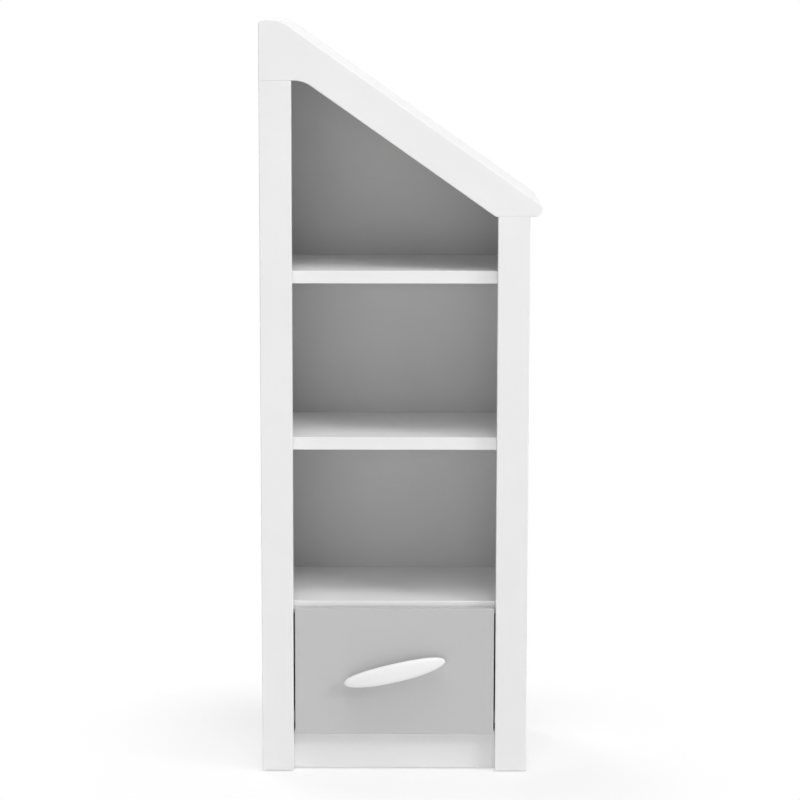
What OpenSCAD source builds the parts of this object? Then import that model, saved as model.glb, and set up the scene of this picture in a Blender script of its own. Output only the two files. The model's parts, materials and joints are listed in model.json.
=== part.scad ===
// Half-house bookcase for a child's room: three open bays over one drawer, under a single sloped roof.
// Millimetres, +Z up. The origin is on the floor, at the middle of the whole piece's box.
// Inside the modules x runs from the case's left side, y from the face frame's front to the rear.

/* [Case] */
// Width across the two sides
body_w = 530; // [480:5:600]
// Depth from the face frame's front to the rear of the back panel
case_d = 350; // [335:5:420]
// Height of the plinth board, which ends flush with the top of the bottom panel
plinth_h = 78.5; // [75:0.5:110]
// Clear height of the drawer bay, from the bottom panel to the lower shelf
drawer_bay_h = 241; // [228:0.5:280]
// Clear height of each closed bay between two shelves
bay_h = 307; // [260:1:360]
// Height of the eaves over the upper shelf
eaves_rise = 108.5; // [80:0.5:200]

/* [Roof] */
// Slope of the roof, in degrees below the horizontal
roof_pitch = 35.1; // [30:0.1:40]
// Length of the flat top, from the left edge to where the slope would start unrounded
ridge_w = 43.3; // [40:0.1:80]
// How far the eaves reach past the right side
eaves_overhang = 23; // [18:1:35]
// Thickness of the ridge panel and the roof panel
roof_t = 18; // [16:1:22]
// Rounding of the top left corner
ridge_corner_r = 10; // [4:1:12]
// Rounding of the bend, on the roof's top
bend_top_r = 50; // [20:1:60]
// Rounding of the eaves' nose
nose_r = 14.3; // [10:0.1:18]

/* [Face frame] */
// Width of each stile
stile_w = 63; // [55:1:75]
// Thickness of the stiles and the roof fascia
frame_t = 22; // [19:1:24]
// Width of the roof fascia, square to the slope
fascia_w = 70; // [60:1:80]
// Height of the fascia's left end, down to its joint with the left stile
fascia_end_h = 116; // [110:1:140]
// Rounding of the bend, on the fascia's underside
bend_under_r = 57; // [30:1:65]

/* [Boards] */
// Thickness of the side panels
side_t = 18; // [16:1:22]
// Thickness of the three shelves
shelf_t = 25; // [22:1:30]
// Thickness of the bottom panel
bottom_t = 18; // [16:1:22]
// Thickness of the plinth board
plinth_t = 18; // [16:1:22]
// Thickness of the rear rail under the bottom panel
rail_t = 18; // [16:1:22]
// Thickness of the back panel
back_t = 6; // [4:0.5:8]
// How far the back panel stays inside the case's outline
back_inset = 4; // [3:0.5:6]
// How far the back panel reaches below the bottom panel's top
back_lap = 45; // [30:1:60]

/* [Drawer] */
// Thickness of the drawer front
front_t = 18; // [16:1:20]
// Gap between the drawer front and each stile
front_gap = 3; // [2:0.5:6]
// How far the drawer front covers the lower shelf's front edge
front_lap_top = 14; // [8:1:20]
// How far the drawer front covers the plinth
front_lap_bottom = 3; // [1:0.5:15]
// Height of the drawer's sides
drawer_side_h = 170; // [150:5:190]
// Thickness of the drawer's sides
drawer_side_t = 12; // [12:1:16]
// Thickness of the drawer's back
drawer_back_t = 12; // [12:1:16]
// Height of the drawer's lower edge over the bottom panel
drawer_lift = 16; // [14:1:22]
// Thickness of the drawer's bottom
drawer_base_t = 4; // [3:0.5:6]
// Height of the drawer's bottom over the sides' lower edge
drawer_base_rise = 10; // [8:1:14]
// How deep the drawer's bottom sits in its grooves
groove_d = 6; // [4:1:7]
// Gap between the drawer's rear and the back panel
drawer_rear_gap = 26; // [10:1:40]

/* [Handle] */
// Length of the oval bar
handle_l = 207; // [180:1:230]
// Width of the oval bar at its middle
handle_w = 37.5; // [32:0.5:44]
// Thickness of the bar
handle_t = 12; // [10:0.5:14]
// How full the bar's outline is: 2 is an ellipse, and more is squarer
handle_fullness = 2.2; // [2:0.1:3]
// How far the bar's ends bend back from its middle
handle_bow = 8; // [4:0.5:10]
// Reach of the bar's front from the drawer front
handle_reach = 30; // [28:1:36]
// Tilt of the bar, in degrees, rising to the right
handle_tilt = 13.2; // [0:0.1:20]
// Height of the bar's middle over the middle of the drawer front
handle_rise = 3; // [0:1:10]
// Distance between the two posts
post_span = 128; // [96:1:140]
// Radius of each post
post_r = 7; // [6:0.5:8]

/* [Drawer runners] */
// How far the runners still overlap when the drawer is fully out
runner_overlap = 75; // [65:5:100]
// Space beside the drawer that a pair of runners fills
side_space = 12.5; // [12.5:0.5:14]
// Thickness of the runners' sheet
sheet_t = 1.2; // [1:0.1:1.4]
// Radius of the rollers
roller_r = 10.5; // [9.5:0.5:11]
// Width of the rollers
roller_w = 5.5; // [5:0.1:6]
// Radius of the riveted roller pins
pin_r = 2.5; // [2:0.1:3]
// Distance from a runner's end to its roller's axis
roller_end = 12; // [12:0.5:16]
// Height of the drawer roller's axis over the drawer sides' lower edge
roller_rise = 11.5; // [11.5:0.5:14]
// Height of the packers that carry the cabinet runners
packer_h = 60; // [56:1:70]
// Gap between the stiles' rear faces and the cabinet runners
runner_setback = 1; // [1:0.5:3]
// Height of the stop tabs on the cabinet runner's track
stop_h = 4; // [3:0.5:5]
// Reach of the drawer runner's lip under the drawer's side
lip_w = 10; // [8:1:12]

/* [Fittings] */
// Radius of the wooden dowels
dowel_r = 4; // [3:0.5:4]
// Length of the wooden dowels
dowel_l = 30; // [28:1:35]
// How deep a dowel sits in the face of the board that it meets
dowel_in_face = 11; // [9:0.5:12]
// Radius of the cam locks
cam_r = 7.5; // [7:0.5:8]
// How far a cam lock reaches past the middle of its board
cam_past_middle = 4; // [3.5:0.5:5]
// Radius of the cam bolts
cam_bolt_r = 3; // [2.5:0.5:3.5]
// Distance from a board's end to the middle of its cam locks
cam_reach = 34; // [24:1:40]
// How deep a cam bolt is screwed into a side panel
cam_bolt_in_side = 11; // [8:1:13]
// Distance of the fittings from a board's front and rear edges
fitting_inset = 50; // [40:1:70]
// Radius of the cam locks in the drawer's sides
drawer_cam_r = 6; // [5:0.5:6]
// Depth of the cam locks in the drawer's sides
drawer_cam_h = 9.5; // [9:0.1:10]
// Radius of the cam bolts in the drawer front
drawer_bolt_r = 2.5; // [2:0.5:3]
// Distance from the drawer front to the middle of its cam locks
drawer_cam_reach = 24; // [20:1:30]
// How deep a cam bolt is screwed into the drawer front
drawer_bolt_in_front = 9; // [7:1:11]
// Radius of the wood screws
screw_r = 1.75; // [1.5:0.05:2]
// Radius of the wood screws' heads
screw_head_r = 3.5; // [3:0.1:4]
// Length of the back panel's screws
back_screw_l = 25; // [20:1:30]
// Length of the packers' screws
packer_screw_l = 56; // [50:1:60]
// Length of the short screws in the runners and the wall bracket
short_screw_l = 10; // [8:0.5:11]
// Height of the short screws' heads
pan_h = 1.4; // [1:0.1:1.5]
// Length of the drawer back's screws
drawer_screw_l = 30; // [25:1:35]
// Radius of the handle's machine screws
handle_screw_r = 2; // [1.5:0.1:2.5]
// How deep the handle's screws reach into its posts
handle_screw_grip = 9; // [7:1:12]

/* [Glides and wall bracket] */
// Height of the floor glides
glide_h = 3; // [2:0.5:6]
// Radius of the floor glides
glide_r = 8; // [7:0.5:8]
// Radius of the glides' nails
nail_r = 1.2; // [1:0.1:1.5]
// Length of the glides' nails
nail_l = 12; // [10:1:16]
// Distance of the glides from the side panels' front and rear edges
glide_inset = 30; // [20:1:50]
// Thickness of the wall bracket's steel
bracket_t = 2; // [1.5:0.1:3]
// Length of each leg of the wall bracket
bracket_leg = 30; // [26:1:34]
// Height of the wall bracket
bracket_h = 36; // [30:1:40]
// Distance from the roof's flat top down to the wall bracket
bracket_drop = 62; // [55:1:75]
// Radius of the hole for the wall screw
wall_hole_r = 2.75; // [2.5:0.05:3.5]
// Distance from the bracket's free end to the middle of that hole
wall_hole_inset = 12; // [9:1:14]

/* [Clearances] */
// Radial clearance of a fitting in its hole
hole_gap = 0.1; // [0.05:0.01:0.2]
// Spare depth behind the end of a fitting
end_gap = 1; // [0.5:0.1:1.5]
// Gap between a roller and what it rolls on
track_gap = 0.3; // [0.2:0.05:0.4]
// Radial running clearance of the rollers on their pins
pin_gap = 0.08; // [0.05:0.01:0.1]
// Gap between a roller and the sheet or the rivet head beside it
roller_side_gap = 0.5; // [0.4:0.1:0.7]
// Gap between the lips of one runner and the web of the other
web_gap = 1; // [0.8:0.1:1.4]
// Upright gap between the upper flanges of the two runners
flange_gap = 0.9; // [0.6:0.1:1.2]
// Spare height of the groove over the drawer's bottom
groove_gap = 0.3; // [0.2:0.1:0.5]
// Radial clearance of the wall screw in the back panel's larger hole
wall_screw_gap = 2; // [1:0.5:3]

/* [Hidden] */

$fn = 96;

// Colours
white_lacquer = [0.92, 0.92, 0.92];
grey_lacquer = [0.76, 0.76, 0.76];
zinc = [0.72, 0.74, 0.76];
beech = [0.80, 0.64, 0.45];
nylon = [0.90, 0.90, 0.87];
raw_board = [0.70, 0.58, 0.44];

// How far a cut runs past the face that it opens
cut = 1;

// Heights of the case
bottom_top = glide_h + plinth_h;
shelf_count = 3;
shelf_pitch = bay_h + shelf_t;
function shelf_top(i) = bottom_top + drawer_bay_h + shelf_t + i * shelf_pitch;
eaves_h = shelf_top(shelf_count - 1) + eaves_rise;
inner_rear = case_d - back_t;

// Roof lines: the sharp corners, before they are rounded
nose_x = body_w + eaves_overhang - nose_r + nose_r / tan(roof_pitch / 2);
overall_h = eaves_h + (nose_x - ridge_w) * tan(roof_pitch);
function roof_z(x) = overall_h - (x - ridge_w) * tan(roof_pitch);
function under_roof_z(x, t) = roof_z(x) - t / cos(roof_pitch);
fascia_z = overall_h - fascia_end_h;
under_bend_x = ridge_w + (fascia_end_h - fascia_w / cos(roof_pitch)) / tan(roof_pitch);
under_nose_x = under_bend_x + (fascia_z - eaves_h) / tan(roof_pitch);
mitre_x = ridge_w - roof_t * tan(roof_pitch / 2);

// The whole piece's box
overall_w = body_w + eaves_overhang;
overall_d = handle_reach + case_d;

// Drawer
opening_l = stile_w;
opening_r = body_w - stile_w;
drawer_l = stile_w + side_space;
drawer_r = body_w - drawer_l;
front_z = bottom_top - front_lap_bottom;
front_h = front_lap_bottom + drawer_bay_h + front_lap_top;
drawer_z = bottom_top + drawer_lift;
drawer_top = drawer_z + drawer_side_h;
drawer_rear = inner_rear - drawer_rear_gap;
base_z = drawer_z + drawer_base_rise;
groove_h = drawer_base_t + groove_gap;

// Runners: as long as the drawer's sides. Across the side space they run from the packer (0) to the drawer
runner_l = drawer_rear - front_t;
drawer_travel = runner_l - runner_overlap;
runner_y = frame_t + runner_setback;
track_h = 2 * (roller_r + track_gap);
drawer_roller_z = drawer_z + roller_rise;
drawer_roller_y = drawer_rear - roller_end;
cabinet_roller_z = drawer_roller_z + sheet_t + flange_gap;
cabinet_roller_y = runner_y + roller_end;
channel_z = drawer_roller_z - track_h / 2 - sheet_t;
channel_h = track_h + 2 * sheet_t;
channel_reach = side_space - sheet_t - web_gap;
drawer_flange_z = cabinet_roller_z + roller_r + track_gap;
roller_room = roller_r + 2 * flange_gap + sheet_t;
pin_head_t = 1;
pin_head_r = 4;
runner_screw_inset = 50;
short_head_r = 3;
// The drawer runners' screws pass over the groove of the drawer's bottom
drawer_screw_rise = 7;

// Screw heads of the back panel and the packers
screw_cone_h = screw_head_r - screw_r;

// ---------------------------------------------------------------- helpers

// Moves the case from its own corner to the piece's frame.
module in_place() {
    translate([-overall_w / 2, handle_reach - overall_d / 2, 0]) children();
}

// A board between two opposite corners.
module board(from, to) {
    translate(from) cube(to - from);
}

// Gives a front outline, drawn in x and z, its depth.
module across_depth(from_y, to_y) {
    translate([0, to_y, 0]) rotate([90, 0, 0]) linear_extrude(to_y - from_y) children();
}

module peg_x(at, r, l) {
    translate(at) rotate([0, 90, 0]) cylinder(r = r, h = l);
}

module peg_y(at, r, l) {
    translate(at) rotate([-90, 0, 0]) cylinder(r = r, h = l);
}

module peg_z(at, r, l) {
    translate(at) cylinder(r = r, h = l);
}

module on_right() {
    translate([body_w, 0, 0]) mirror([1, 0, 0]) children();
}

module on_both_sides() {
    children();
    on_right() children();
}

function spread(first, last, n) = [for (i = [0 : n - 1]) first + (last - first) * i / (n - 1)];
function ray(a) = [cos(a), sin(a)];

// What rounding takes off a corner whose two edges leave it at the angles a and b. The arc is let out by a hair,
// so that it crosses the edges and doesn't only touch them.
module corner_waste(corner, a, b, r) {
    hair = 0.02;
    past = 1.5;
    half = (b - a) / 2;
    centre = corner + ray((a + b) / 2) * r / sin(half);
    to_a = corner + ray(a) * r / tan(half) - centre;
    to_b = corner + ray(b) * r / tan(half) - centre;
    difference() {
        polygon([centre, centre + past * to_a, centre + past * (corner - centre), centre + past * to_b]);
        translate(centre) circle(r + hair);
    }
}

// A countersunk wood screw along +z with its head's face at z = 0.
module countersunk_screw(l) {
    recess_w = 0.8;
    recess_d = 1;
    difference() {
        union() {
            cylinder(r1 = screw_head_r, r2 = screw_r, h = screw_cone_h);
            cylinder(r = screw_r, h = l);
        }
        for (turn = [0, 90])
            rotate(turn) translate([-screw_r, -recess_w / 2, -cut]) cube([2 * screw_r, recess_w, recess_d + cut]);
    }
}

module countersunk_hole(l) {
    cylinder(r1 = screw_head_r + hole_gap, r2 = screw_r + hole_gap, h = screw_cone_h);
    cylinder(r = screw_r + hole_gap, h = l + end_gap);
    translate([0, 0, -cut]) cylinder(r = screw_head_r + hole_gap, h = cut);
}

// A pan head screw along +z whose head stands on the plane z = 0.
module pan_screw(l, r, head_r, head_h) {
    recess_w = 0.8;
    recess_share = 0.6;
    difference() {
        union() {
            translate([0, 0, -head_h]) cylinder(r = head_r, h = head_h);
            cylinder(r = r, h = l);
        }
        for (turn = [0, 90])
            rotate(turn) translate([-head_r * recess_share, -recess_w / 2, -head_h - cut])
                cube([2 * head_r * recess_share, recess_w, head_h * recess_share + cut]);
    }
}

// ---------------------------------------------------------------- roof outlines

// The roof's outer outline, down to the eaves.
module roof_outline() {
    difference() {
        polygon([[0, eaves_h], [0, overall_h], [ridge_w, overall_h], [nose_x, eaves_h]]);
        corner_waste([0, overall_h], -90, 0, ridge_corner_r);
        corner_waste([ridge_w, overall_h], -180, -roof_pitch, bend_top_r);
        corner_waste([nose_x, eaves_h], 180 - roof_pitch, 180, nose_r);
    }
}

// The opening under the fascia, with its rounded bend.
module under_fascia() {
    difference() {
        polygon([[-cut, eaves_h - cut], [-cut, fascia_z], [under_bend_x, fascia_z],
            [under_nose_x, eaves_h], [under_nose_x, eaves_h - cut]]);
        corner_waste([under_bend_x, fascia_z], -180, -roof_pitch, bend_under_r);
    }
}

// ---------------------------------------------------------------- fittings, drawn once for piece and hole

// Cam fittings join each shelf and the bottom panel to the sides.
shelf_levels = [for (i = [0 : shelf_count - 1]) [shelf_top(i), shelf_t]];
board_levels = concat([[bottom_top, bottom_t]], shelf_levels);
cam_rows = [frame_t + fitting_inset, inner_rear - fitting_inset];

module cam_bolt_set(gap, spare) {
    for (level = board_levels, y = cam_rows)
        on_both_sides()
            peg_x([side_t - cam_bolt_in_side - spare, y, level[0] - level[1] / 2],
                cam_bolt_r + gap, cam_bolt_in_side + cam_reach + spare);
}

module cam_lock_set(gap, spare) {
    for (level = board_levels, y = cam_rows)
        on_both_sides()
            peg_z([side_t + cam_reach, y, level[0] - level[1] - spare],
                cam_r + gap, level[1] / 2 + cam_past_middle + 2 * spare);
}

// Dowels in the ends of the same boards, between the cam fittings.
module shelf_dowel_set(gap, spare) {
    y = (frame_t + inner_rear) / 2;
    for (level = board_levels)
        on_both_sides()
            peg_x([side_t - dowel_in_face - spare, y, level[0] - level[1] / 2],
                dowel_r + gap, dowel_l + 2 * spare);
}

// Dowels of the plinth and the rear rail.
plinth_dowel_inset = 20;
module base_dowel_set(gap, spare) {
    in_side = dowel_in_face;
    for (z = [glide_h + plinth_dowel_inset, bottom_top - plinth_dowel_inset])
        on_both_sides()
            peg_x([side_t - in_side - spare, frame_t + plinth_t / 2, z], dowel_r + gap, dowel_l + 2 * spare);
    for (z = [glide_h + plinth_dowel_inset, bottom_top - bottom_t - plinth_dowel_inset])
        on_both_sides()
            peg_x([side_t - in_side - spare, inner_rear - rail_t / 2, z], dowel_r + gap, dowel_l + 2 * spare);
    for (x = [opening_l, opening_r])
        peg_y([x, frame_t + plinth_t - dowel_in_face - spare, bottom_top - bottom_t / 2],
            dowel_r + gap, dowel_l + 2 * spare);
}

// Upright dowels under the ridge panel and the roof panel.
module roof_dowel_set(gap, spare) {
    left_x = side_t / 2;
    right_x = body_w - side_t / 2;
    in_roof = dowel_in_face;
    for (y = spread(frame_t + fitting_inset, inner_rear - fitting_inset, 3)) {
        peg_z([left_x, y, overall_h - roof_t + in_roof - dowel_l - spare], dowel_r + gap, dowel_l + 2 * spare);
        peg_z([right_x, y, under_roof_z(right_x, roof_t) + in_roof - dowel_l - spare],
            dowel_r + gap, dowel_l + 2 * spare);
    }
}

// Dowels that hold the face frame on the case's front edges.
frame_dowel_inset = 45;
function left_frame_dowels() =
    [for (z = spread(glide_h + frame_dowel_inset, fascia_z - frame_dowel_inset, 5)) [side_t / 2, z]];
function right_frame_dowels() =
    [for (z = spread(glide_h + frame_dowel_inset, eaves_h - frame_dowel_inset, 5)) [body_w - side_t / 2, z]];
function roof_frame_dowels() =
    [for (x = spread(mitre_x + frame_dowel_inset, body_w - frame_dowel_inset, 4)) [x, under_roof_z(x, roof_t / 2)]];

module frame_dowel_set(gap, spare) {
    for (at = concat(left_frame_dowels(), right_frame_dowels(), roof_frame_dowels()))
        peg_y([at[0], frame_t - dowel_in_face - spare, at[1]], dowel_r + gap, dowel_l + 2 * spare);
}

// Places, in x and z, of the screws through the back panel.
back_screw_inset = 40;
function back_screw_places() = concat(
    [for (z = spread(bottom_top + back_screw_inset, overall_h - roof_t - back_screw_inset, 7)) [side_t / 2, z]],
    [for (z = spread(bottom_top + back_screw_inset, under_roof_z(body_w, roof_t) - back_screw_inset, 6))
        [body_w - side_t / 2, z]],
    [for (x = spread(opening_l + back_screw_inset, body_w - stile_w, 4)) [x, under_roof_z(x, roof_t / 2)]],
    [for (level = board_levels, x = spread(opening_l + back_screw_inset, opening_r - back_screw_inset, 3))
        [x, level[0] - level[1] / 2]]);

module at_back_screws() {
    for (at = back_screw_places())
        translate([at[0], case_d, at[1]]) rotate([90, 0, 0]) children();
}

// Screws through the left packer into the side panel, over the runner.
packer_screw_drop = 7;
module at_packer_screws() {
    for (y = [frame_t + fitting_inset, frame_t + runner_l - fitting_inset])
        on_both_sides()
            translate([stile_w, y, bottom_top + packer_h - packer_screw_drop]) rotate([0, -90, 0]) children();
}

// Short screws of the cabinet runners, from the drawer's side into the packers.
module at_cabinet_runner_screws() {
    for (y = [runner_y + runner_screw_inset, runner_y + runner_l - runner_screw_inset])
        on_both_sides()
            translate([stile_w + sheet_t, y, drawer_roller_z]) rotate([0, -90, 0]) children();
}

// Short screws of the drawer runners, into the drawer's sides.
module at_drawer_runner_screws() {
    for (y = [front_t + runner_screw_inset, drawer_rear - runner_screw_inset])
        on_both_sides()
            translate([drawer_l - sheet_t, y, drawer_roller_z + drawer_screw_rise]) rotate([0, 90, 0]) children();
}

// Cam fittings between the drawer front and the drawer's sides.
drawer_fitting_low = 45;
drawer_fitting_high = 25;
drawer_cam_levels = [drawer_z + drawer_fitting_low, drawer_top - drawer_fitting_high];

module drawer_cam_bolt_set(gap, spare) {
    for (z = drawer_cam_levels)
        on_both_sides()
            peg_y([drawer_l + drawer_side_t / 2, front_t - drawer_bolt_in_front - spare, z],
                drawer_bolt_r + gap, drawer_bolt_in_front + drawer_cam_reach + spare);
}

module drawer_cam_lock_set(gap, spare) {
    for (z = drawer_cam_levels)
        on_both_sides()
            peg_x([drawer_l + drawer_side_t - drawer_cam_h, front_t + drawer_cam_reach, z],
                drawer_cam_r + gap, drawer_cam_h + spare);
}

// Screws through the drawer's sides into the ends of its back.
module at_drawer_back_screws() {
    for (z = drawer_cam_levels)
        on_both_sides()
            translate([drawer_l, drawer_rear - drawer_back_t / 2, z]) rotate([0, 90, 0]) children();
}

// The frame of the handle: x along the bar, origin on the drawer front's face.
module at_handle() {
    translate([body_w / 2, 0, front_z + front_h / 2 + handle_rise]) rotate([0, -handle_tilt, 0]) children();
}

module at_handle_posts() {
    at_handle() for (side = [-1, 1]) translate([side * post_span / 2, 0, 0]) children();
}

// Floor glides under the side panels.
module at_glides() {
    for (y = [frame_t + glide_inset, inner_rear - glide_inset])
        on_both_sides() translate([side_t / 2, y, 0]) children();
}

// Wall bracket: its top, and its holes.
bracket_top = overall_h - bracket_drop;
bracket_screw_inset = 9;
wall_hole_x = side_t + bracket_leg - wall_hole_inset;
wall_hole_z = bracket_top - bracket_h / 2;

module at_bracket_screws() {
    for (z = [bracket_top - bracket_screw_inset, bracket_top - bracket_h + bracket_screw_inset])
        translate([side_t + bracket_t, inner_rear - bracket_leg + bracket_screw_inset, z])
            rotate([0, -90, 0]) children();
}

module short_screw() {
    pan_screw(short_screw_l, screw_r, short_head_r, pan_h);
}

module short_screw_hole() {
    cylinder(r = screw_r + hole_gap, h = short_screw_l + end_gap);
    translate([0, 0, -cut]) cylinder(r = screw_r + hole_gap, h = cut);
}

// ---------------------------------------------------------------- case

module left_side_panel() {
    color(white_lacquer) in_place() difference() {
        board([0, frame_t, glide_h], [side_t, inner_rear, overall_h - roof_t]);
        case_side_holes();
        at_bracket_screws() short_screw_hole();
    }
}

module right_side_panel() {
    color(white_lacquer) in_place() difference() {
        across_depth(frame_t, inner_rear)
            polygon([[body_w - side_t, glide_h], [body_w - side_t, under_roof_z(body_w - side_t, roof_t)],
                [body_w, under_roof_z(body_w, roof_t)], [body_w, glide_h]]);
        case_side_holes();
    }
}

// Every hole that the fittings need in the side panels.
module case_side_holes() {
    cam_bolt_set(hole_gap, end_gap);
    shelf_dowel_set(hole_gap, end_gap);
    base_dowel_set(hole_gap, end_gap);
    roof_dowel_set(hole_gap, end_gap);
    frame_dowel_set(hole_gap, end_gap);
    at_back_screws() countersunk_hole(back_screw_l);
    at_packer_screws() countersunk_hole(packer_screw_l);
    at_glides() cylinder(r = nail_r + hole_gap, h = glide_h + nail_l + end_gap);
}

module ridge_panel() {
    color(white_lacquer) in_place() difference() {
        across_depth(frame_t, inner_rear) intersection() {
            roof_outline();
            polygon([[0, overall_h - roof_t], [0, overall_h], [ridge_w, overall_h],
                [mitre_x, overall_h - roof_t]]);
        }
        roof_dowel_set(hole_gap, end_gap);
        frame_dowel_set(hole_gap, end_gap);
    }
}

module roof_panel() {
    color(white_lacquer) in_place() difference() {
        across_depth(frame_t, inner_rear) intersection() {
            roof_outline();
            polygon([[mitre_x, overall_h - roof_t], [ridge_w, overall_h], [nose_x, eaves_h],
                [nose_x - roof_t / sin(roof_pitch), eaves_h]]);
        }
        roof_dowel_set(hole_gap, end_gap);
        frame_dowel_set(hole_gap, end_gap);
        at_back_screws() countersunk_hole(back_screw_l);
    }
}

module bottom_panel() {
    color(white_lacquer) in_place() difference() {
        board([side_t, frame_t + plinth_t, bottom_top - bottom_t], [body_w - side_t, inner_rear, bottom_top]);
        shelf_holes();
        base_dowel_set(hole_gap, end_gap);
    }
}

module plinth() {
    color(white_lacquer) in_place() difference() {
        board([side_t, frame_t, glide_h], [body_w - side_t, frame_t + plinth_t, bottom_top]);
        base_dowel_set(hole_gap, end_gap);
    }
}

module rear_rail() {
    color(white_lacquer) in_place() difference() {
        board([side_t, inner_rear - rail_t, glide_h], [body_w - side_t, inner_rear, bottom_top - bottom_t]);
        base_dowel_set(hole_gap, end_gap);
    }
}

// Every hole that the fittings need in a shelf or in the bottom panel.
module shelf_holes() {
    cam_bolt_set(hole_gap, end_gap);
    cam_lock_set(hole_gap, 0);
    shelf_dowel_set(hole_gap, end_gap);
    at_back_screws() countersunk_hole(back_screw_l);
}

module shelf(i) {
    color(white_lacquer) in_place() difference() {
        board([side_t, frame_t, shelf_top(i) - shelf_t], [body_w - side_t, inner_rear, shelf_top(i)]);
        shelf_holes();
    }
}

module back_panel() {
    sloped_x = ridge_w - back_inset * tan(roof_pitch / 2);
    right_x = body_w - back_inset;
    color(grey_lacquer) in_place() difference() {
        across_depth(inner_rear, case_d)
            polygon([[back_inset, bottom_top - back_lap], [back_inset, overall_h - back_inset],
                [sloped_x, overall_h - back_inset], [right_x, under_roof_z(right_x, back_inset)],
                [right_x, bottom_top - back_lap]]);
        at_back_screws() countersunk_hole(back_screw_l);
        peg_y([wall_hole_x, inner_rear - cut, wall_hole_z], wall_hole_r + wall_screw_gap, back_t + 2 * cut);
    }
}

// ---------------------------------------------------------------- face frame

module left_stile() {
    color(white_lacquer) in_place() difference() {
        board([0, 0, glide_h], [stile_w, frame_t, fascia_z]);
        frame_dowel_set(hole_gap, end_gap);
    }
}

module right_stile() {
    color(white_lacquer) in_place() difference() {
        board([opening_r, 0, glide_h], [body_w, frame_t, eaves_h]);
        frame_dowel_set(hole_gap, end_gap);
    }
}

module roof_fascia() {
    color(white_lacquer) in_place() difference() {
        across_depth(0, frame_t) difference() {
            roof_outline();
            under_fascia();
        }
        frame_dowel_set(hole_gap, end_gap);
    }
}

// ---------------------------------------------------------------- runners

module packer() {
    difference() {
        board([side_t, frame_t, bottom_top], [stile_w, frame_t + runner_l, bottom_top + packer_h]);
        at_packer_screws() countersunk_hole(packer_screw_l);
        at_cabinet_runner_screws() short_screw_hole();
    }
}

module left_packer() {
    color(raw_board) in_place() packer();
}

module right_packer() {
    color(raw_board) in_place() on_right() packer();
}

// Where a stop tab meets a roller that stands at the end of its run.
stop_reach = sqrt(pow(roller_r, 2) - pow(roller_r + track_gap - stop_h, 2)) + track_gap;

// C-shaped track on the packer: web, two flanges, and a stop tab at each end of the roller's run.
module cabinet_runner() {
    end_y = runner_y + runner_l;
    reach_x = stile_w + channel_reach;
    difference() {
        union() {
            board([stile_w, runner_y, channel_z], [stile_w + sheet_t, end_y, channel_z + channel_h]);
            board([stile_w, runner_y, channel_z], [reach_x, end_y, channel_z + sheet_t]);
            board([stile_w, cabinet_roller_y + roller_room, channel_z + channel_h - sheet_t],
                [reach_x, end_y, channel_z + channel_h]);
            board([stile_w, drawer_roller_y + stop_reach, channel_z],
                [reach_x, drawer_roller_y + stop_reach + sheet_t, channel_z + sheet_t + stop_h]);
            board([stile_w, drawer_roller_y - drawer_travel - stop_reach - sheet_t, channel_z],
                [reach_x, drawer_roller_y - drawer_travel - stop_reach, channel_z + sheet_t + stop_h]);
        }
        at_cabinet_runner_screws() short_screw_hole();
        at_cabinet_rollers() cylinder(r = pin_r + hole_gap, h = 2 * sheet_t);
    }
}

module left_cabinet_runner() {
    color(zinc) in_place() cabinet_runner();
}

module right_cabinet_runner() {
    color(zinc) in_place() on_right() cabinet_runner();
}

// Angle under the drawer's side: web, lip under the side, and the flange that runs on the cabinet roller.
module drawer_runner() {
    web_x = drawer_l - sheet_t;
    difference() {
        union() {
            board([web_x, front_t, drawer_z - sheet_t], [drawer_l, drawer_rear, drawer_flange_z + sheet_t]);
            board([web_x, front_t, drawer_z - sheet_t], [drawer_l + lip_w, drawer_rear, drawer_z]);
            board([drawer_l - channel_reach, front_t + frame_t, drawer_flange_z],
                [drawer_l, drawer_rear, drawer_flange_z + sheet_t]);
        }
        at_drawer_runner_screws() short_screw_hole();
        at_drawer_rollers() cylinder(r = pin_r + hole_gap, h = 2 * sheet_t);
    }
}

module left_drawer_runner() {
    color(zinc) in_place() drawer_runner();
}

module right_drawer_runner() {
    color(zinc) in_place() on_right() drawer_runner();
}

// Frames of the rollers: z points from the runner's sheet into the side space.
module at_cabinet_rollers() {
    translate([stile_w, cabinet_roller_y, cabinet_roller_z]) rotate([0, 90, 0]) children();
}

module at_drawer_rollers() {
    translate([drawer_l, drawer_roller_y, drawer_roller_z]) rotate([0, -90, 0]) children();
}

roller_from = sheet_t + roller_side_gap;
pin_head_from = roller_from + roller_w + roller_side_gap / 2;

// Nylon roller with a thin web between its hub and its rim.
module roller() {
    hub_r = pin_r + 2;
    rim_t = 2.5;
    web_recess = 1.2;
    color(nylon) translate([0, 0, roller_from]) difference() {
        cylinder(r = roller_r, h = roller_w);
        translate([0, 0, -cut]) cylinder(r = pin_r + pin_gap, h = roller_w + 2 * cut);
        translate([0, 0, roller_w - web_recess]) difference() {
            cylinder(r = roller_r - rim_t, h = web_recess + cut);
            cylinder(r = hub_r, h = web_recess + cut);
        }
    }
}

// Rivet through the runner's sheet, with its head over the roller.
module roller_pin() {
    cylinder(r = pin_r, h = pin_head_from + pin_head_t);
    translate([0, 0, pin_head_from]) cylinder(r = pin_head_r, h = pin_head_t);
}

module left_cabinet_roller() {
    in_place() at_cabinet_rollers() roller();
}

module right_cabinet_roller() {
    in_place() on_right() at_cabinet_rollers() roller();
}

module left_drawer_roller() {
    in_place() at_drawer_rollers() roller();
}

module right_drawer_roller() {
    in_place() on_right() at_drawer_rollers() roller();
}

module cabinet_roller_pins() {
    color(zinc) in_place() on_both_sides() at_cabinet_rollers() roller_pin();
}

module drawer_roller_pins() {
    color(zinc) in_place() on_both_sides() at_drawer_rollers() roller_pin();
}

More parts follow.
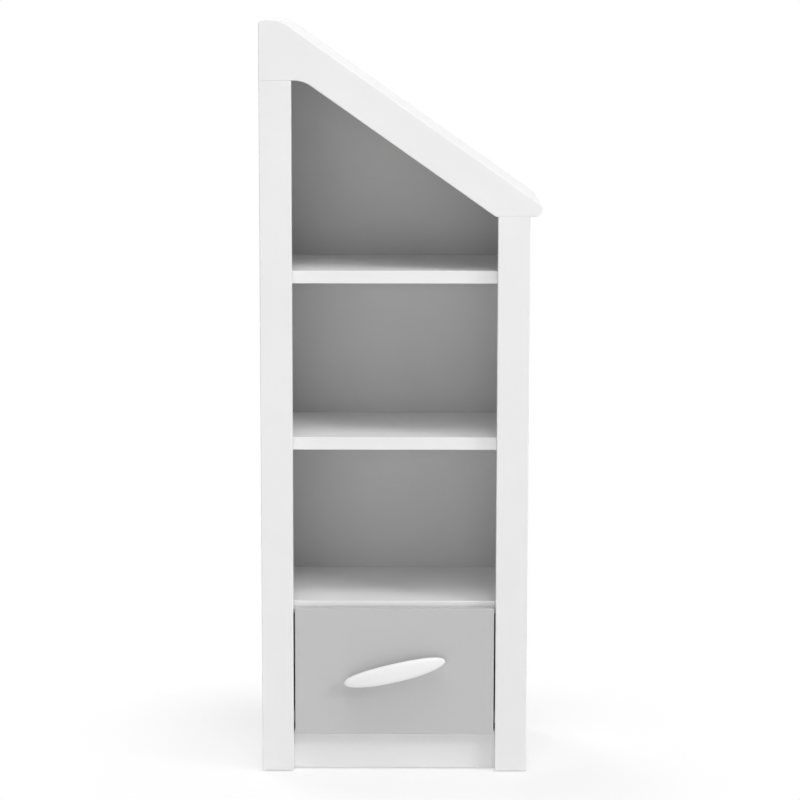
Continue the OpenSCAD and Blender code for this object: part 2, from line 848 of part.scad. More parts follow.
module cabinet_runner_screws() {
    color(zinc) in_place() at_cabinet_runner_screws() short_screw();
}

module drawer_runner_screws() {
    color(zinc) in_place() at_drawer_runner_screws() short_screw();
}

// ---------------------------------------------------------------- drawer

module drawer_front() {
    color(grey_lacquer) in_place() difference() {
        board([opening_l + front_gap, 0, front_z], [opening_r - front_gap, front_t, front_z + front_h]);
        drawer_cam_bolt_set(hole_gap, end_gap);
        drawer_groove();
        at_handle_posts() rotate([-90, 0, 0]) translate([0, 0, -cut])
            cylinder(r = handle_screw_r + hole_gap, h = front_t + 2 * cut);
    }
}

// The groove that takes the drawer's bottom, in the front and the two sides.
module drawer_groove() {
    board([drawer_l + drawer_side_t - groove_d - hole_gap, front_t - groove_d - hole_gap, base_z],
        [drawer_r - drawer_side_t + groove_d + hole_gap, drawer_rear + cut, base_z + groove_h]);
}

module drawer_side() {
    difference() {
        board([drawer_l, front_t, drawer_z], [drawer_l + drawer_side_t, drawer_rear, drawer_top]);
        drawer_groove();
        drawer_cam_bolt_set(hole_gap, end_gap);
        drawer_cam_lock_set(hole_gap, cut);
        at_drawer_back_screws() countersunk_hole(drawer_screw_l);
        at_drawer_runner_screws() short_screw_hole();
    }
}

module drawer_left_side() {
    color(white_lacquer) in_place() drawer_side();
}

module drawer_right_side() {
    color(white_lacquer) in_place() on_right() drawer_side();
}

module drawer_back() {
    color(white_lacquer) in_place() difference() {
        board([drawer_l + drawer_side_t, drawer_rear - drawer_back_t, base_z + groove_h],
            [drawer_r - drawer_side_t, drawer_rear, drawer_top]);
        at_drawer_back_screws() countersunk_hole(drawer_screw_l);
    }
}

module drawer_bottom() {
    color(white_lacquer) in_place()
        board([drawer_l + drawer_side_t - groove_d, front_t - groove_d, base_z],
            [drawer_r - drawer_side_t + groove_d, drawer_rear, base_z + drawer_base_t]);
}

module drawer_cam_bolts() {
    color(zinc) in_place() drawer_cam_bolt_set(0, 0);
}

module drawer_cam_locks() {
    color(zinc) in_place() difference() {
        drawer_cam_lock_set(0, 0);
        drawer_cam_bolt_set(hole_gap, end_gap);
    }
}

module drawer_back_screws() {
    color(zinc) in_place() at_drawer_back_screws() countersunk_screw(drawer_screw_l);
}

// ---------------------------------------------------------------- handle

handle_bow_r = (pow(handle_l / 2, 2) + pow(handle_bow, 2)) / (2 * handle_bow);
handle_sides = 96;

// The share of the oval's half length or half width, from the cosine or sine of a turn round it
function oval_share(c) = sign(c) * pow(abs(c), 2 / handle_fullness);

// The bar's outline from the front: an oval a little fuller than an ellipse.
module handle_outline() {
    polygon([for (i = [0 : handle_sides - 1]) let (turn = 360 * i / handle_sides)
        [oval_share(cos(turn)) * handle_l / 2, oval_share(sin(turn)) * handle_w / 2]]);
}

// The bar is bowed: its ends lie further back than its middle.
module handle_bar() {
    intersection() {
        across_depth(-handle_reach, 0) handle_outline();
        translate([0, handle_bow_r - handle_reach, -handle_w]) difference() {
            cylinder(r = handle_bow_r, h = 2 * handle_w, $fn = 360);
            translate([0, 0, -cut]) cylinder(r = handle_bow_r - handle_t, h = 2 * (handle_w + cut), $fn = 360);
        }
    }
}

module handle() {
    post_bow = handle_bow_r - sqrt(pow(handle_bow_r, 2) - pow(post_span / 2, 2));
    color(white_lacquer) in_place() difference() {
        union() {
            at_handle() handle_bar();
            at_handle_posts() rotate([90, 0, 0])
                cylinder(r = post_r, h = handle_reach - post_bow - handle_t / 2);
        }
        at_handle_posts() rotate([90, 0, 0]) translate([0, 0, -cut])
            cylinder(r = handle_screw_r + hole_gap, h = handle_screw_grip + end_gap + cut);
    }
}

module handle_screws() {
    head_r = 4;
    head_h = 2.4;
    color(zinc) in_place() at_handle_posts() translate([0, front_t, 0]) rotate([90, 0, 0])
        pan_screw(front_t + handle_screw_grip, handle_screw_r, head_r, head_h);
}

// ---------------------------------------------------------------- fittings of the case

module packer_screws() {
    color(zinc) in_place() at_packer_screws() countersunk_screw(packer_screw_l);
}

module cam_bolts() {
    color(zinc) in_place() cam_bolt_set(0, 0);
}

module cam_locks() {
    slot_w = 1.2;
    slot_d = 2.5;
    color(zinc) in_place() difference() {
        cam_lock_set(0, 0);
        cam_bolt_set(hole_gap, end_gap);
        for (level = board_levels, y = cam_rows)
            on_both_sides() translate([side_t + cam_reach, y, level[0] - level[1]])
                for (turn = [0, 90])
                    rotate(turn) translate([-cam_r / 2, -slot_w / 2, -cut]) cube([cam_r, slot_w, slot_d + cut]);
    }
}

module shelf_dowels() {
    color(beech) in_place() shelf_dowel_set(0, 0);
}

module base_dowels() {
    color(beech) in_place() base_dowel_set(0, 0);
}

module roof_dowels() {
    color(beech) in_place() roof_dowel_set(0, 0);
}

module frame_dowels() {
    color(beech) in_place() frame_dowel_set(0, 0);
}

module back_panel_screws() {
    color(zinc) in_place() at_back_screws() countersunk_screw(back_screw_l);
}

module floor_glides() {
    color(nylon) in_place() at_glides() {
        cylinder(r = glide_r, h = glide_h);
        cylinder(r = nail_r, h = glide_h + nail_l);
    }
}

// Steel angle in the top left corner: one leg on the side panel, one on the back panel.
module wall_bracket() {
    bottom = bracket_top - bracket_h;
    color(zinc) in_place() difference() {
        union() {
            board([side_t, inner_rear - bracket_leg, bottom], [side_t + bracket_t, inner_rear, bracket_top]);
            board([side_t, inner_rear - bracket_t, bottom], [side_t + bracket_leg, inner_rear, bracket_top]);
        }
        at_bracket_screws() translate([0, 0, -cut]) cylinder(r = screw_r + hole_gap, h = bracket_t + 2 * cut);
        peg_y([wall_hole_x, inner_rear - bracket_t - cut, wall_hole_z], wall_hole_r, bracket_t + 2 * cut);
    }
}

module wall_bracket_screws() {
    color(zinc) in_place() at_bracket_screws() short_screw();
}

// ---------------------------------------------------------------- nodes

left_side_panel();
right_side_panel();
ridge_panel();
roof_panel();
bottom_panel();
plinth();
rear_rail();
shelf(0);  // shelf_lower
shelf(1);  // shelf_middle
shelf(2);  // shelf_upper
back_panel();
left_stile();
right_stile();
roof_fascia();
left_packer();
right_packer();
left_cabinet_runner();
right_cabinet_runner();
left_cabinet_roller();
right_cabinet_roller();
cabinet_roller_pins();
cabinet_runner_screws();
packer_screws();
cam_bolts();
cam_locks();
shelf_dowels();
base_dowels();
roof_dowels();
frame_dowels();
back_panel_screws();
floor_glides();
wall_bracket();
wall_bracket_screws();
drawer_front();
drawer_left_side();
drawer_right_side();
drawer_back();
drawer_bottom();
handle();
handle_screws();
drawer_cam_bolts();
drawer_cam_locks();
drawer_back_screws();
left_drawer_runner();
right_drawer_runner();
left_drawer_roller();
right_drawer_roller();
drawer_roller_pins();
drawer_runner_screws();
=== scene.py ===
import json
import math

import bmesh
import bpy
from mathutils import Matrix, Vector

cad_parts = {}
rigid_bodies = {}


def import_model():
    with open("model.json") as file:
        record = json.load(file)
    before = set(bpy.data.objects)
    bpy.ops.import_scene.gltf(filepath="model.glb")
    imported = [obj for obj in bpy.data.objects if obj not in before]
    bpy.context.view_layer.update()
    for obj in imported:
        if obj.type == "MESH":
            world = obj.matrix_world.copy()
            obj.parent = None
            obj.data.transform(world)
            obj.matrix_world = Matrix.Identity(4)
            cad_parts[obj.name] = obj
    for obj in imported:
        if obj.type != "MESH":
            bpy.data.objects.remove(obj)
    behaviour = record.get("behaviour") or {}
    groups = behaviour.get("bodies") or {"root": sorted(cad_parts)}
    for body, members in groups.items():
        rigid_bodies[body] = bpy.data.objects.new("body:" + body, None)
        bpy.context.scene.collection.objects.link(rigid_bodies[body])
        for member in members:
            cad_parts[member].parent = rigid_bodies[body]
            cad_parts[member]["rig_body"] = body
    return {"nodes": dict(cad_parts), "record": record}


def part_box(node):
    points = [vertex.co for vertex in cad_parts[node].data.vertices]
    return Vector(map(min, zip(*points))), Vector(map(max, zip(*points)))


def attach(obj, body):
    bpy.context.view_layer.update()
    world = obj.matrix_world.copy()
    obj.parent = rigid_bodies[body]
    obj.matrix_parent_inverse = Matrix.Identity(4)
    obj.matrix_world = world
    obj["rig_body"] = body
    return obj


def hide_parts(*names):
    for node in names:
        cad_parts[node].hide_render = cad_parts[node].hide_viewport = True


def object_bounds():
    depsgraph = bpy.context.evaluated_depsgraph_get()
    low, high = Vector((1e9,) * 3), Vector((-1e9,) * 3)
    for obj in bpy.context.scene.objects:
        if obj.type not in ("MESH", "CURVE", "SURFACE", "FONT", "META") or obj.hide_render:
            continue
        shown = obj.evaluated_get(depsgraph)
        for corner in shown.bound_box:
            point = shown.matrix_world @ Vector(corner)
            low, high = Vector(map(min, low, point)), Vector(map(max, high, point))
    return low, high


# Half-house bookcase: its finish, its rounded edges, its handle, and the studio round it. Metres, +Z up.

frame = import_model()
cad_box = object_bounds()
MM = 0.001


def add_object(name, data):
    thing = bpy.data.objects.new(name, data)
    bpy.context.scene.collection.objects.link(thing)
    return thing


# ------------------------------------------------------------------ camera

CAMERA_AT = Vector((0.0195, -5.50, 1.579))
CAMERA_DOWN = 8.74        # degrees below the horizon
CAMERA_LEFT = 0.22        # degrees to the left
CAMERA_ROLL = 0.08        # degrees
CAMERA_LENS = 123.24      # mm, on Blender's 36 mm sensor
CAMERA_REACH = 200        # metres, past the floor's far edge


def add_camera():
    data = bpy.data.cameras.new("camera")
    data.lens = CAMERA_LENS
    data.clip_end = CAMERA_REACH
    camera = add_object("camera", data)
    turn = (Matrix.Rotation(math.radians(CAMERA_LEFT), 4, "Z")
            @ Matrix.Rotation(math.radians(90 - CAMERA_DOWN), 4, "X")
            @ Matrix.Rotation(math.radians(CAMERA_ROLL), 4, "Z"))
    camera.matrix_world = Matrix.Translation(CAMERA_AT) @ turn
    bpy.context.scene.camera = camera


# ------------------------------------------------------------------ materials

WHITE = (0.82, 0.82, 0.82)
GREY_FRONT = (0.515, 0.515, 0.515)
GREY_BACK = (0.53, 0.53, 0.53)
HANDLE_WHITE = (0.86, 0.86, 0.86)
NYLON = (0.80, 0.80, 0.76)
FLAKE_DARK = (0.42, 0.31, 0.20)
FLAKE_LIGHT = (0.66, 0.53, 0.38)
BEECH_DARK = (0.62, 0.43, 0.27)
BEECH_LIGHT = (0.78, 0.60, 0.41)
ZINC_DARK = (0.56, 0.57, 0.60)
ZINC_LIGHT = (0.70, 0.71, 0.72)

NOISE_SPAN = (0.3, 0.7)   # the values that a noise texture mostly takes
FLAKE_SPAN = (0.1, 0.9)   # the values between which the flakes' tone changes


class Graph:
    """One material and a short way to add nodes to it."""

    def __init__(self, name):
        self.material = bpy.data.materials.new(name)
        self.material.use_nodes = True
        self.tree = self.material.node_tree
        self.shader = self.tree.nodes["Principled BSDF"]
        self.place = self.add("ShaderNodeTexCoord").outputs["Object"]

    def add(self, kind, inputs=None, **settings):
        node = self.tree.nodes.new(kind)
        for name, value in settings.items():
            setattr(node, name, value)
        for name, value in (inputs or {}).items():
            self.feed(node.inputs[name], value)
        return node

    def feed(self, socket, value):
        """Links another node's output to the socket, or sets a constant on it."""
        if isinstance(value, bpy.types.NodeSocket):
            self.tree.links.new(value, socket)
        else:
            socket.default_value = value

    def set(self, **sockets):
        for name, value in sockets.items():
            self.feed(self.shader.inputs[name.replace("_", " ")], value)

    def noise(self, scale, detail=2.0, roughness=0.5, place=None):
        node = self.add("ShaderNodeTexNoise", {
            "Vector": place or self.place, "Scale": scale, "Detail": detail, "Roughness": roughness})
        return node.outputs["Fac"]

    def stretched(self, scales):
        return self.add("ShaderNodeMapping", {"Vector": self.place, "Scale": scales}).outputs["Vector"]

    def spread(self, noise, low, high):
        """A number from low to high, as the noise goes through its span."""
        start, end = NOISE_SPAN
        node = self.add("ShaderNodeMapRange", {
            "Value": noise, "From Min": start, "From Max": end, "To Min": low, "To Max": high})
        return node.outputs["Result"]

    def ramp(self, fac, low, high, span=NOISE_SPAN):
        """A colour from low to high, as fac goes through the span."""
        node = self.add("ShaderNodeValToRGB", {"Fac": fac})
        for stop, position, colour in zip(node.color_ramp.elements, span, (low, high)):
            stop.position = position
            stop.color = (*colour, 1)
        return node.outputs["Color"]

    def bump(self, height, strength, distance, under=None):
        inputs = {"Height": height, "Strength": strength, "Distance": distance}
        if under:
            inputs["Normal"] = under
        return self.add("ShaderNodeBump", inputs).outputs["Normal"]


def shade(colour, factor):
    return tuple(c * factor for c in colour)


def lacquer(name, colour, roughness):
    """Sprayed satin lacquer: faint clouds in tone and gloss, and a fine orange peel."""
    graph = Graph(name)
    clouds = graph.noise(scale=5, detail=3)
    fine_peel = graph.bump(graph.noise(scale=420), strength=0.12, distance=0.15 * MM)
    peel = graph.bump(graph.noise(scale=45), strength=0.10, distance=0.5 * MM, under=fine_peel)
    gloss = graph.noise(scale=22, detail=4, roughness=0.6)
    graph.set(Base_Color=graph.ramp(clouds, low=shade(colour, 0.985), high=shade(colour, 1.012)),
              Roughness=graph.spread(gloss, low=roughness - 0.04, high=roughness + 0.05),
              Normal=peel)
    return graph.material


def particle_board(name):
    """Raw pressed board: flakes of several tones."""
    graph = Graph(name)
    flakes = graph.add("ShaderNodeTexVoronoi", {"Vector": graph.stretched((260, 90, 260)), "Scale": 1.0})
    graph.set(Base_Color=graph.ramp(flakes.outputs["Color"], FLAKE_DARK, FLAKE_LIGHT, FLAKE_SPAN),
              Roughness=0.85,
              Normal=graph.bump(flakes.outputs["Distance"], strength=0.4, distance=0.4 * MM))
    return graph.material


def beech_wood(name):
    """Plain beech, its grain drawn out along x."""
    graph = Graph(name)
    grain = graph.noise(scale=1, detail=4, roughness=0.6, place=graph.stretched((60, 500, 500)))
    graph.set(Base_Color=graph.ramp(grain, BEECH_DARK, BEECH_LIGHT),
              Roughness=0.6,
              Normal=graph.bump(grain, strength=0.3, distance=0.2 * MM))
    return graph.material


def zinc_steel(name):
    """Zinc plated sheet: fine streaks along the depth and a faint spangle."""
    graph = Graph(name)
    streaks = graph.noise(scale=1, detail=3, roughness=0.6, place=graph.stretched((900, 40, 900)))
    spangle = graph.noise(scale=160)
    graph.set(Base_Color=graph.ramp(spangle, ZINC_DARK, ZINC_LIGHT),
              Metallic=1.0,
              Roughness=graph.spread(streaks, low=0.28, high=0.46),
              Normal=graph.bump(streaks, strength=0.15, distance=0.1 * MM))
    return graph.material


def moulded(name, colour, low, high):
    """Moulded plastic: a roughness that wanders a little from low to high, and a very fine even grain."""
    graph = Graph(name)
    tone = graph.noise(scale=9, detail=1)
    gloss = graph.noise(scale=16, detail=1)
    grain = graph.noise(scale=1100, detail=1)
    graph.set(Base_Color=graph.ramp(tone, low=shade(colour, 0.99), high=shade(colour, 1.005)),
              Roughness=graph.spread(gloss, low, high),
              Normal=graph.bump(grain, strength=0.03, distance=0.04 * MM))
    return graph.material


def make_finishes():
    """One material for each material slot of the record."""
    return {
        "white_lacquer": lacquer("white_lacquer", WHITE, roughness=0.40),
        "grey_front": lacquer("grey_front", GREY_FRONT, roughness=0.40),
        "grey_back": lacquer("grey_back", GREY_BACK, roughness=0.48),
        "handle_white": moulded("handle_white", HANDLE_WHITE, low=0.29, high=0.33),
        "nylon": moulded("nylon", NYLON, low=0.42, high=0.52),
        "raw_board": particle_board("raw_board"),
        "beech": beech_wood("beech"),
        "zinc": zinc_steel("zinc"),
    }


def slot_of(node):
    return next(s["material_slot"] for s in frame["record"]["subparts"] if s["node"] == node)


def body_of(node):
    return frame["nodes"][node]["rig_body"]


def put_on(piece, material):
    piece.data.materials.clear()
    piece.data.materials.append(material)


# ------------------------------------------------------------------ boards with rounded edges

FRAME_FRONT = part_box("left_stile")[0].y
FRAME_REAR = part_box("left_stile")[1].y
FASCIA_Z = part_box("left_stile")[1].z
EAVES_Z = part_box("right_stile")[1].z
LEFT_STILE_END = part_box("left_stile")[1].x
RIGHT_STILE_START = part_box("right_stile")[0].x
RIGHT_STILE_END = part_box("right_stile")[1].x

ROUND_MOST = 2.0 * MM     # the widest rounding, which a weight of 1 stands for
FACE_ROUND = 1.8 * MM     # edges on the front of the face frame
BOARD_ROUND = 1.2 * MM    # edges of the other boards and of the drawer
SEAM_ROUND = 0.9 * MM     # the two edges of the seam between a stile and the fascia
JOINT_ROUND = 0.5 * MM    # edges that mostly lie against or behind another board
ROUND_STEPS = 4           # faces across a rounding
TAPER = 1 * MM            # over which a rounding grows from one radius to another
JOINT_ENDS = (LEFT_STILE_END - TAPER, LEFT_STILE_END, RIGHT_STILE_START, RIGHT_STILE_START + TAPER,
              RIGHT_STILE_END - TAPER, RIGHT_STILE_END)

LONG_EDGE = 9 * MM        # longer than each side of a hole's rim, an arc or a groove's end
SHARP_EDGE = math.radians(30)     # faces that meet at more have a real edge between them
FLAT_EDGE = math.radians(0.5)     # faces that meet at less become one
SAME_POINT = 0.002 * MM   # points that lie closer become one
CLOSE = 0.1 * MM          # what counts as the same height or depth


def close(a, b):
    return abs(a - b) < CLOSE


def runs_along(direction, axis):
    """Whether a direction of length 1 lies within 60 degrees of an axis: 0, 1 or 2 for x, y or z."""
    return abs(direction[axis]) > 0.5


def shown_copy(node, name):
    """A mesh object with the node's own clean mesh, to be changed and shown in its place."""
    mesh = bmesh.new()
    mesh.from_mesh(frame["nodes"][node].data)
    bmesh.ops.remove_doubles(mesh, verts=mesh.verts, dist=SAME_POINT)
    bmesh.ops.dissolve_limit(mesh, angle_limit=FLAT_EDGE, verts=mesh.verts, edges=mesh.edges)
    return mesh, add_object(name, bpy.data.meshes.new(name))


def finish_piece(mesh, piece):
    for face in mesh.faces:
        face.smooth = True
    mesh.to_mesh(piece.data)
    mesh.free()


def weigh_edges(mesh, radius_at, arcs_at=()):
    """Weighs each long sharp edge, and each sharp edge in the planes y of arcs_at. The others stay sharp."""
    weights = mesh.edges.layers.float.new("bevel_weight_edge")
    for edge in mesh.edges:
        if len(edge.link_faces) != 2 or edge.calc_face_angle() < SHARP_EDGE:
            continue
        a, b = (v.co for v in edge.verts)
        in_arc = any(close(a.y, y) and close(b.y, y) for y in arcs_at)
        if edge.calc_length() >= LONG_EDGE or in_arc:
            edge[weights] = radius_at((a + b) / 2, (b - a).normalized()) / ROUND_MOST
        else:
            edge.smooth = False


def split_where(mesh, places):
    """Adds a point at each x of places on the level edges of the frame's front that cross it."""
    for x in places:
        for edge in list(mesh.edges):
            a, b = (v.co for v in edge.verts)
            on_front = close(a.y, FRAME_FRONT) and close(b.y, FRAME_FRONT)
            if on_front and close(a.z, b.z) and (a.x - x) * (b.x - x) < 0:
                bmesh.utils.edge_split(edge, edge.verts[0], (x - a.x) / (b.x - a.x))


def round_edges(piece):
    bevel = piece.modifiers.new("rounding", "BEVEL")
    bevel.width = ROUND_MOST
    bevel.segments = ROUND_STEPS
    bevel.limit_method = "WEIGHT"
    bevel.use_clamp_overlap = False
    normals = piece.modifiers.new("normals", "WEIGHTED_NORMAL")
    normals.keep_sharp = True


def dress_board(node, radius_at, arcs_at=(), splits=()):
    """Shows a board with its edges rounded, in the node's place."""
    mesh, piece = shown_copy(node, f"{node}_board")
    split_where(mesh, splits)
    weigh_edges(mesh, radius_at, arcs_at)
    finish_piece(mesh, piece)
    round_edges(piece)
    put_on(piece, finishes[slot_of(node)])
    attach(piece, body_of(node))
    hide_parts(node)


# Each of the next functions gives an edge's radius, from its middle and its direction.

def stile_radius(at, along):
    """The front edges are rounded, and less so at the seam with the fascia."""
    if not close(at.y, FRAME_FRONT):
        return JOINT_ROUND
    at_top = at.z > EAVES_Z - CLOSE and not runs_along(along, 2)
    return SEAM_ROUND if at_top else FACE_ROUND


def fascia_radius(at, along):
    """The underside meets the stiles closely, and is rounded where it is free."""
    if not close(at.y, FRAME_FRONT):
        return JOINT_ROUND
    over_left_stile = close(at.z, FASCIA_Z) and at.x < LEFT_STILE_END
    over_right_stile = close(at.z, EAVES_Z) and RIGHT_STILE_START < at.x < RIGHT_STILE_END
    return SEAM_ROUND if over_left_stile or over_right_stile else FACE_ROUND


def panel_radius(at, along):
    """The front edges meet the face frame closely, and the others are rounded."""
    return BOARD_ROUND if at.y > 0 else JOINT_ROUND


def shelf_radius(at, along):
    """The long edges just behind the face frame are rounded, and the others only a little."""
    return BOARD_ROUND if close(at.y, FRAME_REAR) and runs_along(along, 0) else JOINT_ROUND


def drawer_radius(at, along):
    return BOARD_ROUND


def dress_boards():
    for node in ("left_stile", "right_stile"):
        dress_board(node, stile_radius)
    dress_board("roof_fascia", fascia_radius, arcs_at=(FRAME_FRONT, FRAME_REAR), splits=JOINT_ENDS)
    for node in ("left_side_panel", "right_side_panel", "ridge_panel", "roof_panel"):
        dress_board(node, panel_radius, arcs_at=(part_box(node)[0].y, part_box(node)[1].y))
    for node in ("shelf_lower", "shelf_middle", "shelf_upper", "bottom_panel", "plinth", "rear_rail"):
        dress_board(node, shelf_radius)
    for node in ("drawer_front", "drawer_left_side", "drawer_right_side", "drawer_back"):
        dress_board(node, drawer_radius)


# ------------------------------------------------------------------ handle

HANDLE_LENGTH = 207 * MM
HANDLE_WIDTH = 37.5 * MM
HANDLE_THICK = 12 * MM
HANDLE_FULLNESS = 2.2     # of the outline: 2 is an ellipse, more is squarer
HANDLE_BOW = 8 * MM       # how far the bar's ends lie back from its middle
HANDLE_REACH = 30 * MM    # from the drawer front to the bar's front
HANDLE_TILT = math.radians(13.2)
END_THICK = 1.7           # most half widths that the bar is thick, which thins its ends
SECTION_FULLNESS = 3.2    # of the bar's cross-section
POST_SPAN = 128 * MM      # between the posts' axes
POST_RADIUS = 7 * MM
FOOT_FLARE = 2.2 * MM     # how far a post widens where it meets the drawer
FOOT_RIM = 0.6 * MM       # height of the foot's straight rim
FOOT_HEIGHT = 3 * MM      # height of the flare over the rim
FOOT_STEPS = 6            # faces along the flare
BAR_STEPS = 72            # faces along the bar, the tips' included
RING_POINTS = 40          # points round the bar and round each post
RING_TURNS = [2 * math.pi * j / RING_POINTS for j in range(RING_POINTS)]


def handle_half_width(x):
    """Half the oval's width at x from its middle."""
    share = min(abs(x) / (HANDLE_LENGTH / 2), 1)
    return HANDLE_WIDTH / 2 * (1 - share ** HANDLE_FULLNESS) ** (1 / HANDLE_FULLNESS)


def handle_set_back(x):
    """How far the bar's front lies back from its middle's front, at x: an arc."""
    arc_radius = ((HANDLE_LENGTH / 2) ** 2 + HANDLE_BOW ** 2) / (2 * HANDLE_BOW)
    return arc_radius - math.sqrt(arc_radius ** 2 - x ** 2)


def bar_middle(x):
    """Where the bar's middle line lies at x, counted from the drawer front towards the rear."""
    return -HANDLE_REACH + handle_set_back(x) + HANDLE_THICK / 2


def power(value, exponent):
    return math.copysign(abs(value) ** exponent, value)


def join_rings(mesh, rings):
    """Four-sided faces from each ring to the next."""
    for near, far in zip(rings, rings[1:]):
        for j in range(RING_POINTS):
            k = (j + 1) % RING_POINTS
            mesh.faces.new((near[j], near[k], far[k], far[j]))


def handle_bar():
    """Rings across the bar, closer together at its ends, and a point at each tip."""
    mesh = bmesh.new()
    rings = []
    for i in range(1, BAR_STEPS):
        x = -math.cos(math.pi * i / BAR_STEPS) * HANDLE_LENGTH / 2
        half_width = handle_half_width(x)
        half_thick = min(HANDLE_THICK, END_THICK * half_width) / 2
        ring = []
        for turn in RING_TURNS:
            across = half_width * power(math.cos(turn), 2 / SECTION_FULLNESS)
            deep = half_thick * power(math.sin(turn), 2 / SECTION_FULLNESS)
            ring.append(mesh.verts.new((x, bar_middle(x) + deep, across)))
        rings.append(ring)
    join_rings(mesh, rings)
    for ring, x in ((rings[0], -HANDLE_LENGTH / 2), (rings[-1], HANDLE_LENGTH / 2)):
        tip = mesh.verts.new((x, bar_middle(x), 0))
        for j in range(RING_POINTS):
            mesh.faces.new((ring[j], ring[(j + 1) % RING_POINTS], tip))
    return mesh


def post_profile(top):
    """Radius and height of each ring of a post: a straight rim, a hollow flare, and the shaft."""
    profile = [(POST_RADIUS + FOOT_FLARE, 0), (POST_RADIUS + FOOT_FLARE, FOOT_RIM)]
    for i in range(1, FOOT_STEPS + 1):
        turn = math.pi / 2 * i / FOOT_STEPS
        radius = POST_RADIUS + FOOT_FLARE * (1 - math.sin(turn))
        profile.append((radius, FOOT_RIM + FOOT_HEIGHT * (1 - math.cos(turn))))
    profile.append((POST_RADIUS, top))
    return profile


def handle_post(x):
    """A turned post with a flared foot on the drawer front. It ends in the middle of the bar."""
    mesh = bmesh.new()
    rings = []
    for radius, height in post_profile(-bar_middle(x)):
        ring = [mesh.verts.new((x + radius * math.cos(turn), -height, radius * math.sin(turn)))
                for turn in RING_TURNS]
        rings.append(ring)
    join_rings(mesh, rings)
    mesh.faces.new(rings[0])
    mesh.faces.new(rings[-1])
    return mesh


def piece_from(mesh, name):
    bmesh.ops.recalc_face_normals(mesh, faces=mesh.faces)
    piece = add_object(name, bpy.data.meshes.new(name))
    finish_piece(mesh, piece)
    return piece


def add_handle():
    """The bar and its two posts, tilted about the handle's middle on the drawer front."""
    low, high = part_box("handle")
    middle = (low + high) / 2
    at_front = Vector((middle.x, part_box("drawer_front")[0].y, middle.z))
    place = Matrix.Translation(at_front) @ Matrix.Rotation(-HANDLE_TILT, 4, "Y")
    meshes = {
        "handle_oval_bar": handle_bar(),
        "handle_left_post": handle_post(-POST_SPAN / 2),
        "handle_right_post": handle_post(POST_SPAN / 2),
    }
    for name, mesh in meshes.items():
        piece = piece_from(mesh, name)
        piece.matrix_world = place
        put_on(piece, finishes["handle_white"])
        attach(piece, "drawer")
        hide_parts("handle")


# ------------------------------------------------------------------ studio

WHITE_LIGHT = (1, 1, 1, 1)
SEEN_STRENGTH = 1.0       # at which the background is white
WORLD_FILL = 0.10         # strength of the light that the world gives to things
FLOOR_SIZE = 120
FLOOR_WHITE = 0.90
FLOOR_CLEAR = 0.45        # metres beside the bookcase over which the floor turns to the plain background
FLOOR_LIFT = 0.60         # share of that background in the floor right beside it

# Name, place, what it faces, width and height, and watts
LAMPS = (
    ("key", (9.0, -4.6, 5.6), (0, 0, 0.8), (3.6, 4.4), 463),
    ("overhead", (0.9, -9.7, 12.9), (0.1, 0, 0.4), (7.2, 5.8), 377),
    ("steep", (0.7, -5.0, 15.5), (0.1, 0, 0.6), (7.7, 4.5), 731),
    ("front", (-0.6, -5.2, 1.0), (0, 0, 0.5), (4.0, 1.8), 50.5),
    ("top", (0.5, 0, 3.9), (0.25, 0, 1.3), (2.6, 2.6), 23),
    ("rear", (-3.8, 4.8, 3.6), (0, 0, 0.8), (3.5, 3.5), 230),
)


def background(tree, strength):
    node = tree.nodes.new("ShaderNodeBackground")
    node.inputs["Color"].default_value = WHITE_LIGHT
    node.inputs["Strength"].default_value = strength
    return node.outputs[0]


def seen_rays(tree):
    """1 for a camera, glossy or transmission ray, and 0 for the light that falls on things."""
    path = tree.nodes.new("ShaderNodeLightPath")
    total = path.outputs["Is Camera Ray"]
    for name in ("Is Glossy Ray", "Is Transmission Ray"):
        both = tree.nodes.new("ShaderNodeMath")
        both.operation = "MAXIMUM"
        tree.links.new(total, both.inputs[0])
        tree.links.new(path.outputs[name], both.inputs[1])
        total = both.outputs[0]
    return total


def add_world():
    """White where it is seen, and a faint even light on things."""
    world = bpy.data.worlds.new("studio")
    bpy.context.scene.world = world
    world.use_nodes = True
    tree = world.node_tree
    tree.nodes.clear()
    mix = tree.nodes.new("ShaderNodeMixShader")
    tree.links.new(seen_rays(tree), mix.inputs[0])
    tree.links.new(background(tree, WORLD_FILL), mix.inputs[1])
    tree.links.new(background(tree, SEEN_STRENGTH), mix.inputs[2])
    out = tree.nodes.new("ShaderNodeOutputWorld")
    tree.links.new(mix.outputs[0], out.inputs[0])


def beside(graph, axis, half):
    """How far a point of the floor lies outside the bookcase, along one axis."""
    place = graph.add("ShaderNodeSeparateXYZ", {"Vector": graph.place}).outputs[axis]
    out = graph.add("ShaderNodeMath", {0: place}, operation="ABSOLUTE").outputs[0]
    past = graph.add("ShaderNodeMath", {0: out, 1: half}, operation="SUBTRACT").outputs[0]
    return graph.add("ShaderNodeMath", {0: past, 1: 0}, operation="MAXIMUM").outputs[0]


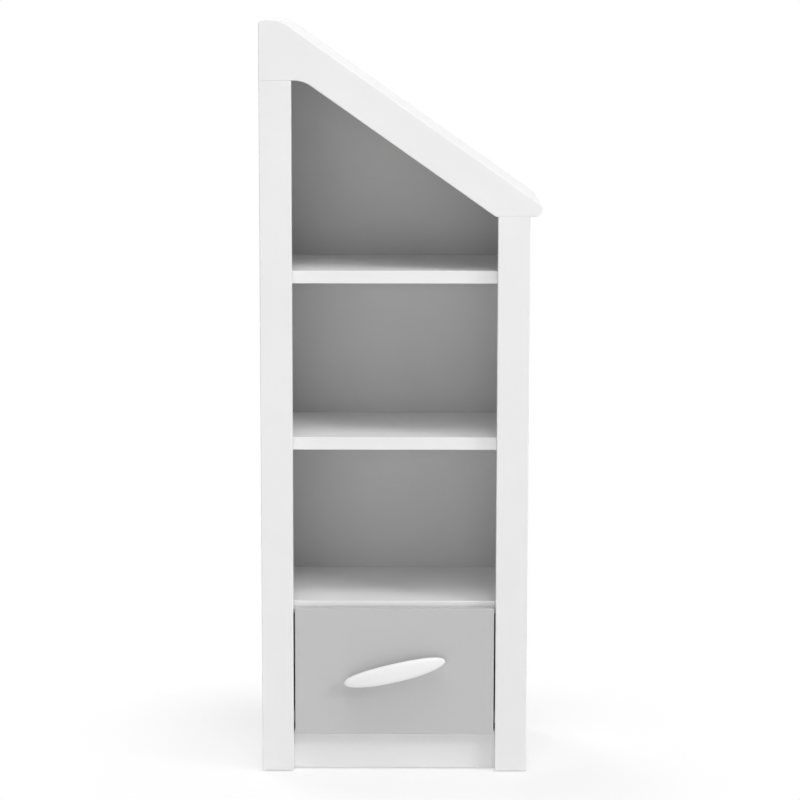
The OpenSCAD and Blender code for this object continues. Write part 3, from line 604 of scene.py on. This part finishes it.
def add_floor():
    """Pale floor. Away from the bookcase the camera sees it as the plain background."""
    mesh = bmesh.new()
    bmesh.ops.create_grid(mesh, x_segments=1, y_segments=1, size=FLOOR_SIZE / 2)
    floor = piece_from(mesh, "floor")
    graph = Graph("floor")
    graph.set(Base_Color=(FLOOR_WHITE,) * 3 + (1,), Roughness=0.9, Specular_IOR_Level=0.1)
    sides = [beside(graph, axis, max(-cad_box[0][i], cad_box[1][i])) for i, axis in enumerate("XY")]
    offset = graph.add("ShaderNodeCombineXYZ", {"X": sides[0], "Y": sides[1]}).outputs["Vector"]
    away = graph.add("ShaderNodeVectorMath", {0: offset}, operation="LENGTH").outputs["Value"]
    clear = graph.add(
        "ShaderNodeMapRange",
        {"Value": away, "From Min": 0, "From Max": FLOOR_CLEAR, "To Min": FLOOR_LIFT},
        interpolation_type="SMOOTHSTEP")
    camera = graph.add("ShaderNodeLightPath").outputs["Is Camera Ray"]
    share = graph.add("ShaderNodeMath", {0: clear.outputs["Result"], 1: camera}, operation="MULTIPLY")
    white = graph.add("ShaderNodeEmission", {"Color": WHITE_LIGHT, "Strength": SEEN_STRENGTH})
    mix = graph.add("ShaderNodeMixShader", {
        "Fac": share.outputs[0], 1: graph.shader.outputs[0], 2: white.outputs[0]})
    graph.tree.links.new(mix.outputs[0], graph.tree.nodes["Material Output"].inputs["Surface"])
    put_on(floor, graph.material)


def add_softbox(name, at, aim, size, watts):
    data = bpy.data.lights.new(name, "AREA")
    data.shape = "RECTANGLE"
    data.size, data.size_y = size
    data.energy = watts
    light = add_object(name, data)
    light.location = at
    light.rotation_mode = "QUATERNION"
    light.rotation_quaternion = (Vector(aim) - Vector(at)).to_track_quat("-Z", "Y")
    light.visible_camera = False


# ------------------------------------------------------------------ the whole scene

add_camera()
finishes = make_finishes()
for name, part in frame["nodes"].items():
    put_on(part, finishes[slot_of(name)])
dress_boards()
add_handle()
add_world()
add_floor()
for lamp in LAMPS:
    add_softbox(*lamp)
bpy.context.scene.view_settings.view_transform = "Standard"
